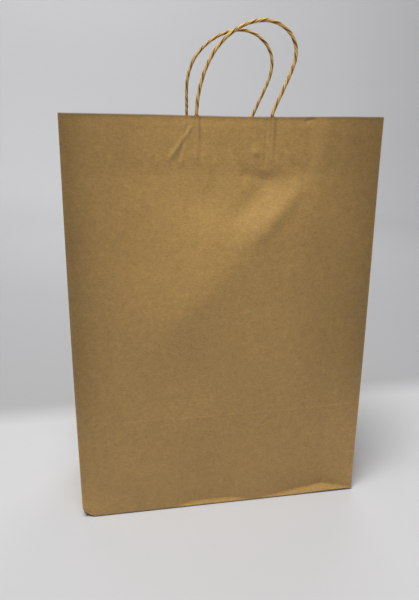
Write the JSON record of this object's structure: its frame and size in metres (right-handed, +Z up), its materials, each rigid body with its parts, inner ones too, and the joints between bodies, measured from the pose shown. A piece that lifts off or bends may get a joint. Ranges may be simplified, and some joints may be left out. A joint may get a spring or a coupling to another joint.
{
  "type": "gift bag",
  "caption": "Kraft paper carrier bag with folded side gussets, a flat base, a pinked rim and twisted-paper cord handles.",
  "frame": {"origin": "the middle of the base, on the surface that the bag stands on", "axes": "+Z up along the height, +X along the width with the glued side seam at -X, +Y from the front panel to the back panel"},
  "size_m": [0.32, 0.12, 0.5215],
  "materials": {
    "kraft_paper": "uncoated, machine-finished brown kraft",
    "strip_paper": "uncoated brown kraft",
    "paper_cord": "twisted kraft paper, faint wax sheen"
  },
  "bodies": {
    "front_wall": {"front_panel": "kraft_paper", "base_rear_flap": "kraft_paper", "base_front_flap": "kraft_paper", "base_left_tuck": "kraft_paper", "base_right_tuck": "kraft_paper", "front_patch_backing": "strip_paper", "front_patch_cover": "strip_paper", "front_cord_leg_left": "paper_cord", "front_cord_leg_right": "paper_cord"},
    "left_front_half": {"left_gusset_front": "kraft_paper"},
    "left_rear_half": {"left_gusset_rear": "kraft_paper"},
    "right_front_half": {"right_gusset_front": "kraft_paper"},
    "right_rear_half": {"right_gusset_rear": "kraft_paper"},
    "back_wall": {"back_panel": "kraft_paper", "side_seam_flap": "kraft_paper", "back_patch_backing": "strip_paper", "back_patch_cover": "strip_paper", "back_cord_leg_left": "paper_cord", "back_cord_leg_right": "paper_cord"},
    "front_handle": {"front_handle_loop": "paper_cord"},
    "back_handle": {"back_handle_loop": "paper_cord"}
  },
  "joints": [
    {"name": "fold_flat", "type": "hinge", "parent": "front_wall", "child": "left_front_half", "pos_m": [-0.1599, -0.0491, 0], "axis": [0, 0, -1], "range_deg": [0, 50]},
    {"name": "left_centre_crease", "type": "hinge", "parent": "left_front_half", "child": "left_rear_half", "pos_m": [-0.12541, 0, 0], "axis": [0, 0, 1], "range_deg": [0, 100]},
    {"name": "left_back_crease", "type": "hinge", "parent": "left_rear_half", "child": "back_wall", "pos_m": [-0.1599, 0.0491, 0], "axis": [0, 0, -1], "range_deg": [0, 50]},
    {"name": "right_front_crease", "type": "hinge", "parent": "front_wall", "child": "right_front_half", "pos_m": [0.1599, -0.0491, 0], "axis": [0, 0, 1], "range_deg": [0, 50]},
    {"name": "right_centre_crease", "type": "hinge", "parent": "right_front_half", "child": "right_rear_half", "pos_m": [0.12541, 0, 0], "axis": [0, 0, -1], "range_deg": [0, 100]},
    {"name": "front_handle_bend", "type": "hinge", "parent": "front_wall", "child": "front_handle", "pos_m": [0.006, -0.0472, 0.4326], "axis": [1, 0, 0], "range_deg": [-25, 80], "stiffness_Nm_per_rad": 0.02},
    {"name": "back_handle_bend", "type": "hinge", "parent": "back_wall", "child": "back_handle", "pos_m": [0.011, 0.0472, 0.4326], "axis": [-1, 0, 0], "range_deg": [-25, 80], "stiffness_Nm_per_rad": 0.02}
  ],
  "couplings": [
    {"joint": "left_centre_crease", "follows": "fold_flat", "ratio": 2},
    {"joint": "left_back_crease", "follows": "fold_flat", "ratio": 1},
    {"joint": "right_front_crease", "follows": "fold_flat", "ratio": 1},
    {"joint": "right_centre_crease", "follows": "fold_flat", "ratio": 2}
  ]
}
